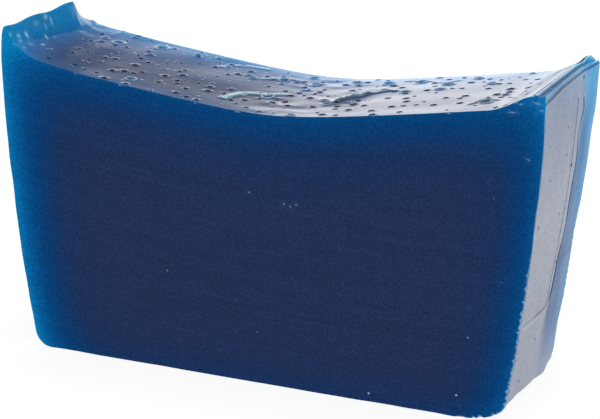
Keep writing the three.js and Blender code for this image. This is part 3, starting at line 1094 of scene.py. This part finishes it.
# ------------------------------------------------------------------ materials
class Nodes:
    """Short hand for building the node tree of a material or the world."""

    def __init__(self, owner, shader="Principled BSDF"):
        owner.use_nodes = True
        self.owner = owner
        self.tree = owner.node_tree
        self.shader = self.tree.nodes[shader].inputs

    def add(self, kind, settings=None, **inputs):
        """A node; an input is given by its name, or by i and its number."""
        node = self.tree.nodes.new(kind)
        for key, value in (settings or {}).items():
            setattr(node, key, value)
        for key, value in inputs.items():
            numbered = key[0] == "i" and key[1:].isdigit()
            self.feed(node.inputs[int(key[1:]) if numbered else key], value)
        return node

    def feed(self, socket, value):
        """Links a socket to another, or sets it to a constant."""
        if isinstance(value, bpy.types.NodeSocket):
            self.tree.links.new(value, socket)
        else:
            socket.default_value = value

    def place(self, kind="Object"):
        """Where a point lies on the object, in metres, or its direction in the world."""
        return self.add("ShaderNodeTexCoord").outputs[kind]

    def attribute(self, name):
        """A value painted on the mesh."""
        return self.add("ShaderNodeAttribute", {"attribute_name": name}).outputs["Fac"]

    def math(self, operation, a, b=0.0, clamp=False):
        return self.add("ShaderNodeMath", {"operation": operation, "use_clamp": clamp}, i0=a, i1=b).outputs[0]

    def split(self, vector):
        return self.add("ShaderNodeSeparateXYZ", None, Vector=vector).outputs

    def scaled(self, vector, scale):
        """A vector multiplied by a scale for each of x, y and z."""
        return self.add("ShaderNodeVectorMath", {"operation": "MULTIPLY"}, i0=vector, i1=scale).outputs[0]

    def noise(self, vector, scale, detail=3.0, roughness=0.5):
        node = self.add("ShaderNodeTexNoise", Vector=vector, Scale=scale, Detail=detail, Roughness=roughness)
        return node.outputs["Fac"]

    def spread(self, value, low, high, to_low=0.0, to_high=1.0, kind="LINEAR"):
        """A value carried from one range to another."""
        node = self.add("ShaderNodeMapRange", {"interpolation_type": kind}, Value=value)
        for k, bound in enumerate((low, high, to_low, to_high)):
            node.inputs[k + 1].default_value = bound
        return node.outputs[0]

    def ramp(self, value, stops):
        """A colour from a list of positions and colours."""
        node = self.add("ShaderNodeValToRGB", None, Fac=value)
        elements = node.color_ramp.elements
        while len(elements) < len(stops):
            elements.new(0.5)
        for element, (position, colour) in zip(elements, stops):
            element.position = position
            element.color = (*colour, 1)
        return node.outputs["Color"]

    def grey(self, value):
        """A colour with the same value in all its channels."""
        return self.add("ShaderNodeCombineColor", None, Red=value, Green=value, Blue=value).outputs[0]

    def mixed(self, factor, a, b, blend="MIX"):
        node = self.add("ShaderNodeMix", {"data_type": "RGBA", "blend_type": blend})
        for socket, value in ((node.inputs[0], factor), (node.inputs[6], a), (node.inputs[7], b)):
            self.feed(socket, value)
        return node.outputs[2]

    def specks(self, vector, scale, rarity, reach):
        """Round spots in the middle of a few cells, between two picks and two distances."""
        cells = self.add("ShaderNodeTexVoronoi", None, Vector=vector, Scale=scale)
        cell = self.add("ShaderNodeSeparateColor", None, Color=cells.outputs["Color"]).outputs[0]
        near = self.spread(cells.outputs["Distance"], *reach)
        return self.math("MULTIPLY", self.spread(cell, *rarity), near)

    def bumped(self, *heights):
        """Gives the surface its relief, from pairs of a height and a distance in metres."""
        normal = None
        for height, distance in heights:
            node = self.add("ShaderNodeBump", None, Height=height, Distance=distance, Strength=1.0)
            if normal is not None:
                self.feed(node.inputs["Normal"], normal)
            normal = node.outputs["Normal"]
        self.feed(self.shader["Normal"], normal)

    def finish(self, colour, roughness, level):
        """Sets what is common to the bar's materials, and returns the material."""
        self.feed(self.shader["Base Color"], colour)
        self.shader["IOR"].default_value = WAX_IOR
        self.shader["Specular IOR Level"].default_value = level
        self.feed(self.shader["Roughness"], roughness)
        return self.owner


WAX_IOR = 1.48
# The compound from its dark core to the painted azure glow where light gets in: share of the glow, colour
GLOW_FULL = 1.6
COMPOUND = [(0.0, (0.0155, 0.0285, 0.086)), (0.05, (0.009, 0.031, 0.105)), (0.1, (0.0035, 0.0375, 0.14)),
            (0.16, (0.0014, 0.045, 0.165)), (0.22, (0.001, 0.055, 0.19)), (0.44, (0.0007, 0.1, 0.305)),
            (0.63, (0.0008, 0.16, 0.4)), (0.81, (0.002, 0.235, 0.515)), (1.0, (0.006, 0.3, 0.61))]
COMPOUND_VARIATION = 0.06
# Colour of the painted sheen on the right end
SHEEN_COLOUR = (0.385, 0.405, 0.47, 1)
PALE_SPECK = (0.28, 0.36, 0.5, 1)
EDGE_HIGHLIGHT = (0.3, 0.5, 0.66, 1)
# Colours of the painted highlights on rings and on folds
RING_HIGHLIGHT = (0.52, 0.78, 0.86, 1)
FOLD_HIGHLIGHT = (0.56, 0.62, 0.72, 1)
# Colours of the painted shade in pits and in folds
PIT_SHADE = (0.004, 0.01, 0.028, 1)
FOLD_SHADE = (0.006, 0.016, 0.05, 1)


def compound_colour(n):
    """The compound's colour: navy in the core, with a painted azure glow where light gets in."""
    place = n.place()
    slight, strong = COMPOUND_VARIATION, 3 * COMPOUND_VARIATION
    glow = n.math("DIVIDE", n.attribute("glow"), GLOW_FULL)
    mottle = n.spread(n.noise(place, 90, 4), 0.3, 0.7, 1 - slight, 1 + slight)
    colour = n.ramp(n.math("MULTIPLY", glow, mottle, clamp=True), COMPOUND)
    shade = n.spread(n.noise(place, 2200, 3, 0.7), 0.4, 0.6, 1 - strong, 1 + strong)
    return n.mixed(1.0, colour, n.grey(shade), "MULTIPLY")


def cut_compound():
    """Knife-cut faces: satin to matte, faint arcs of the blade, small pale specks, and painted highlights on
    edges and nicks.
    """
    n = Nodes(bpy.data.materials.new("compound_cut"))
    place = n.place()
    split = n.split(place)
    offset = n.math("SUBTRACT", split["X"], KNIFE_TOP_X * MM)
    bend = n.math("MULTIPLY", n.math("MULTIPLY", offset, offset), KNIFE_BEND / MM)
    sweep = n.math("SUBTRACT", split["Z"], bend)
    swept = n.add("ShaderNodeCombineXYZ", None, X=split["X"], Y=split["Y"], Z=sweep).outputs[0]
    streaks = n.noise(n.scaled(swept, (12, 12, 900)), 1, 4, 0.6)
    scratches = n.noise(n.scaled(swept, (60, 60, 4200)), 1, 2, 0.5)
    score = n.noise(n.scaled(swept, (30, 30, 2600)), 1, 2, 0.4)
    tone = n.math("ADD", n.spread(streaks, 0.3, 0.75, 0.95, 1.07), n.spread(score, 0.66, 0.74, 0, 0.16))
    colour = n.mixed(1.0, compound_colour(n), n.grey(tone), "MULTIPLY")
    colour = n.mixed(n.specks(place, 520, (0.985, 0.988), (0.14, 0.08)), colour, PALE_SPECK)
    # Painted highlights along edges and on nicks
    colour = n.mixed(n.attribute("pale"), colour, EDGE_HIGHLIGHT)
    n.bumped((streaks, 0.00004), (scratches, 0.00001))
    return n.finish(colour, n.spread(streaks, 0.3, 0.7, 0.5, 0.62), 0.02)


def sheen_painted(n, colour):
    """Painted sheen on the right end, standing in for reflection of the bright backdrop, thinner and bluer
    towards the top and the foot.
    """
    place = n.place()
    height = n.split(place)["Z"]
    patches = n.spread(n.noise(n.scaled(place, (60, 110, 45)), 1, 4), 0.3, 0.7, 0.84, 1)
    amount = n.math("MULTIPLY", patches, n.spread(height, 0.062, 0.037, 0.56, 0.97))
    amount = n.math("MULTIPLY", amount, n.spread(height, 0.028, 0.015, 1, 0.84))
    grain = n.spread(n.noise(place, 1500, 3, 0.7), 0.4, 0.6, 0.78, 1.12)
    amount = n.math("MULTIPLY", amount, grain)
    return n.mixed(n.math("MULTIPLY", n.attribute("sheen_mask"), amount), colour, SHEEN_COLOUR)


def poured_compound():
    """The free surface of the pour: glossy, with painted shade in its pits and painted highlights on raised
    rings.
    """
    n = Nodes(bpy.data.materials.new("compound_poured"))
    place = n.place()
    shade_paint = n.attribute("shade_paint")
    # Painted highlights on rings, ridges and blisters
    uneven_pale = n.spread(n.noise(place, 500, 2), 0.3, 0.7, 0.55, 0.85)
    pale = n.math("MULTIPLY", n.attribute("pale"), uneven_pale)
    colour = n.mixed(pale, sheen_painted(n, compound_colour(n)), RING_HIGHLIGHT)
    # Painted shade in pits, creases and grooves
    colour = n.mixed(n.math("MULTIPLY", shade_paint, 0.95), colour, PIT_SHADE)
    rough = n.spread(n.noise(place, 160, 4), 0.3, 0.7, 0.12, 0.2)
    pricks = n.specks(place, 700, (0.8, 0.82), (0.3, 0.1))
    n.bumped((n.noise(place, 500, 3), 0.00001), (pricks, -0.00003))
    return n.finish(colour, n.math("ADD", rough, n.math("MULTIPLY", shade_paint, 0.7)), 0.5)


def moulded_compound():
    """Ends and base: a satin skin with drag lines, painted sheen in front of the crease, and painted
    highlights and painted shade at its folds.
    """
    n = Nodes(bpy.data.materials.new("compound_moulded"))
    place = n.place()
    drag = n.noise(n.scaled(place, (500, 900, 120)), 1, 4, 0.6)
    colour = n.mixed(n.attribute("pale"), sheen_painted(n, compound_colour(n)), FOLD_HIGHLIGHT)
    # Painted shade in creases and pinholes
    colour = n.mixed(n.math("MULTIPLY", n.attribute("shade_paint"), 0.85), colour, FOLD_SHADE)
    rough = n.spread(drag, 0.3, 0.7, 0.2, 0.32)
    rough = n.math("ADD", rough, n.math("MULTIPLY", n.attribute("sheen_mask"), 0.08))
    n.bumped((drag, 0.00001), (n.noise(place, 1500, 3, 0.6), 0.000012))
    return n.finish(colour, rough, 0.6)


# ------------------------------------------------------------------ camera and light
CAMERA_AZIMUTH = math.radians(23.146)
CAMERA_ELEVATION = math.radians(17.154)
CAMERA_ROLL = math.radians(0.255)
CAMERA_DISTANCE = 0.34964
CAMERA_FOCAL = 106.1
AIM_HEIGHT = 0.030
AIM_ACROSS = 0.001326
AIM_UP = 0.000336


def add_camera():
    """The photo's camera, fitted to the bar's outline."""
    az, el = CAMERA_AZIMUTH, CAMERA_ELEVATION
    back = Vector((math.sin(az) * math.cos(el), -math.cos(az) * math.cos(el), math.sin(el)))
    level = Vector((math.cos(az), math.sin(az), 0))
    upright = back.cross(level)
    right = level * math.cos(CAMERA_ROLL) + upright * math.sin(CAMERA_ROLL)
    up = upright * math.cos(CAMERA_ROLL) - level * math.sin(CAMERA_ROLL)
    aim = Vector((0, 0, AIM_HEIGHT)) + right * AIM_ACROSS + up * AIM_UP
    data = bpy.data.cameras.new("camera")
    data.sensor_width = 36
    data.lens = CAMERA_FOCAL
    camera = bpy.data.objects.new("camera", data)
    turned = Matrix((right, up, back)).transposed().to_4x4()
    camera.matrix_world = Matrix.Translation(aim + back * CAMERA_DISTANCE) @ turned
    bpy.context.scene.collection.objects.link(camera)
    bpy.context.scene.camera = camera


# Brightness of the sweep behind the bar at heights of the direction's z component
SWEEP = [(-0.4, 0.5), (-0.1, 0.6), (0.05, 1.9), (0.26, 1.45), (0.315, 0.45), (0.36, 0.21), (0.42, 0.2),
         (0.48, 0.34), (0.56, 0.3), (0.65, 0.1)]
SWEEP_LOW = -0.5
SWEEP_HIGH = 1.0
SWEEP_PEAK = 2.1
FRONT_DARK = 0.04


def add_world():
    """A pale studio: even light for the bar's own colour, and for its gloss a wide
    bright sweep behind, brightest at the horizon, with the front left dark."""
    bpy.context.scene.world = bpy.data.worlds.new("studio")
    n = Nodes(bpy.context.scene.world, "Background")
    split = n.split(n.place("Generated"))
    behind = n.spread(split["Y"], 0.1, 0.7, kind="SMOOTHSTEP")
    stops = [((z - SWEEP_LOW) / (SWEEP_HIGH - SWEEP_LOW), (radiance / SWEEP_PEAK,) * 3)
             for z, radiance in SWEEP]
    sweep = n.ramp(n.spread(split["Z"], SWEEP_LOW, SWEEP_HIGH), stops)
    lost = n.math("MULTIPLY", n.spread(split["X"], 0.1, 0.3, 0, 0.98), n.spread(split["Z"], -0.05, 0.08))
    wide = n.math("MULTIPLY", behind, n.math("SUBTRACT", 1.0, lost))
    lit = n.math("MULTIPLY", sweep, wide)
    gloss = n.add("ShaderNodeMath", {"operation": "MULTIPLY_ADD"}, i0=lit, i1=SWEEP_PEAK, i2=FRONT_DARK)
    glossy_ray = n.add("ShaderNodeLightPath").outputs["Is Glossy Ray"]
    strength = n.add("ShaderNodeMix", None, i0=glossy_ray, i2=1.0, i3=gloss.outputs[0])
    n.shader["Color"].default_value = (1, 1, 1, 1)
    n.feed(n.shader["Strength"], strength.outputs[0])


# The floor gives off most of its own light, so that it stays as pale as the photo's
FLOOR_HALF = 3.0
FLOOR_EMISSION = 0.84


def add_floor():
    """A plain pale floor, wide enough to reach past every view."""
    half = FLOOR_HALF
    corners = [(-half, -half, 0), (half, -half, 0), (half, half, 0), (-half, half, 0)]
    mesh = bpy.data.meshes.new("floor")
    mesh.from_pydata(corners, [], [(0, 1, 2, 3)])
    floor = bpy.data.objects.new("floor", mesh)
    bpy.context.scene.collection.objects.link(floor)
    n = Nodes(bpy.data.materials.new("pale_floor"))
    tone = n.spread(n.noise(n.place(), 14, 3), 0.3, 0.7, 0.2, 0.21)
    n.feed(n.shader["Base Color"], n.grey(tone))
    n.shader["Roughness"].default_value = 0.9
    n.shader["Specular IOR Level"].default_value = 0
    n.shader["Emission Color"].default_value = (1, 1, 1, 1)
    n.shader["Emission Strength"].default_value = FLOOR_EMISSION
    mesh.materials.append(n.owner)
    floor.visible_glossy = False


def add_soft_light(name, place, aim, size, power):
    """A round lamp aimed at a point, in metres and watts."""
    data = bpy.data.lights.new(name, "AREA")
    data.shape = "DISK"
    data.size = size
    data.energy = power
    light = bpy.data.objects.new(name, data)
    light.location = place
    light.rotation_euler = (Vector(aim) - Vector(place)).to_track_quat("-Z", "Y").to_euler()
    bpy.context.scene.collection.objects.link(light)


add_camera()
add_world()
add_floor()
add_soft_light("overhead", (0.05, 0.2, 0.8), (0, 0, 0.03), 0.12, 0.8)
add_soft_light("side", (0.6, 0.4, 0.38), (-0.03, 0, 0.06), 0.08, 0.6)

bar = make_piece("clay_bar_skin", *build_bar(), [cut_compound(), poured_compound(), moulded_compound()])
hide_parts(NODE)
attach(bar, "root")

scene = bpy.context.scene
scene.view_settings.view_transform = "Standard"
